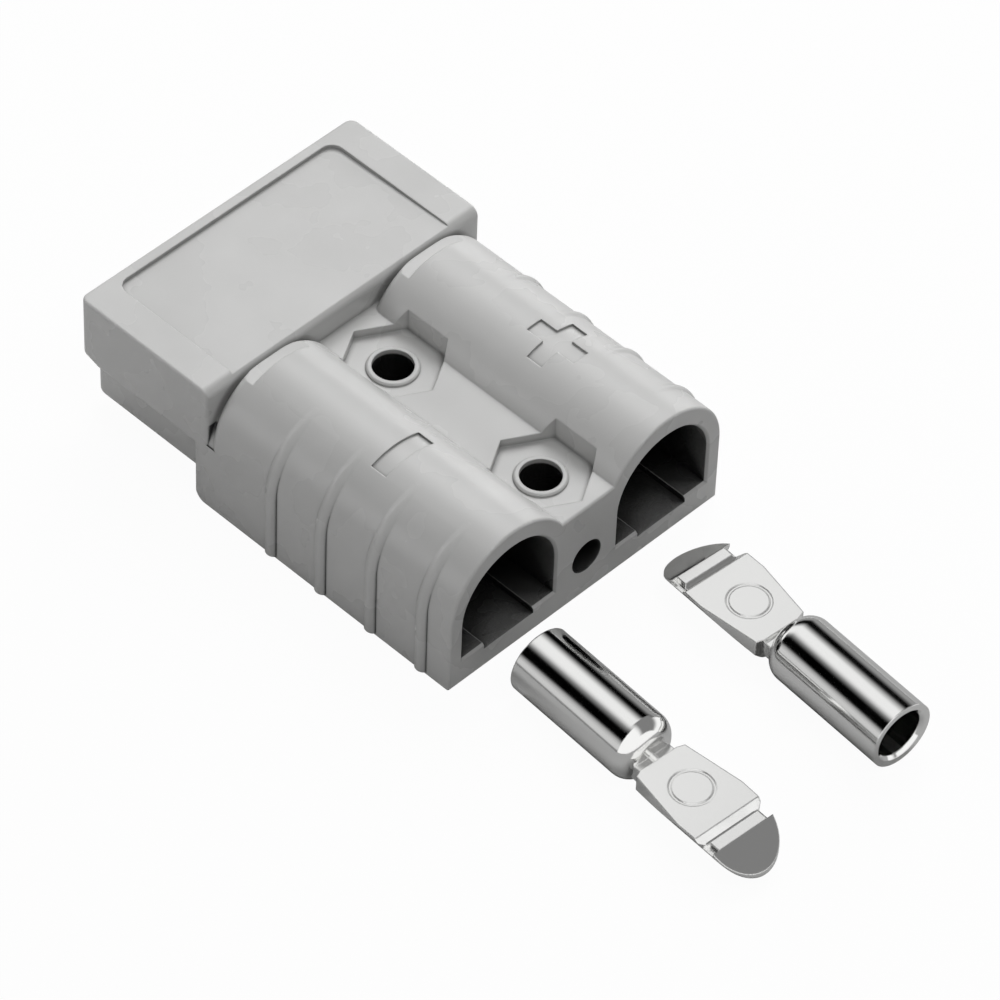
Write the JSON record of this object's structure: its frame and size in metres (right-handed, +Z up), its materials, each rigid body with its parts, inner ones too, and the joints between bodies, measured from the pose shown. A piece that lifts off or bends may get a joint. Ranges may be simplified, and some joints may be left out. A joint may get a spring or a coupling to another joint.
{
  "type": "genderless power connector",
  "caption": "Flat two-pole genderless power connector: moulded housing with an open hood over two tongues, mounting holes, captive latch springs and loose crimp contacts.",
  "frame": {"origin": "midway between the two mounting holes, on the flat face that the housing lies on", "axes": "+Z up out of the flat face along the mounting holes, -Y towards the mating end, +Y towards the cable end, +X towards the minus pole"},
  "size_m": [0.0376, 0.0875, 0.0162],
  "materials": {
    "moulded_housing": "light grey moulded plastic, semi-matte",
    "spring_steel": "stainless spring strip, rolled finish",
    "silver_plating": "bright silver plating on copper"
  },
  "bodies": {
    "root": {"connector_housing": "moulded_housing", "minus_retention_spring": "spring_steel", "plus_retention_spring": "spring_steel", "minus_crimp_contact": "silver_plating", "plus_crimp_contact": "silver_plating"}
  },
  "joints": []
}
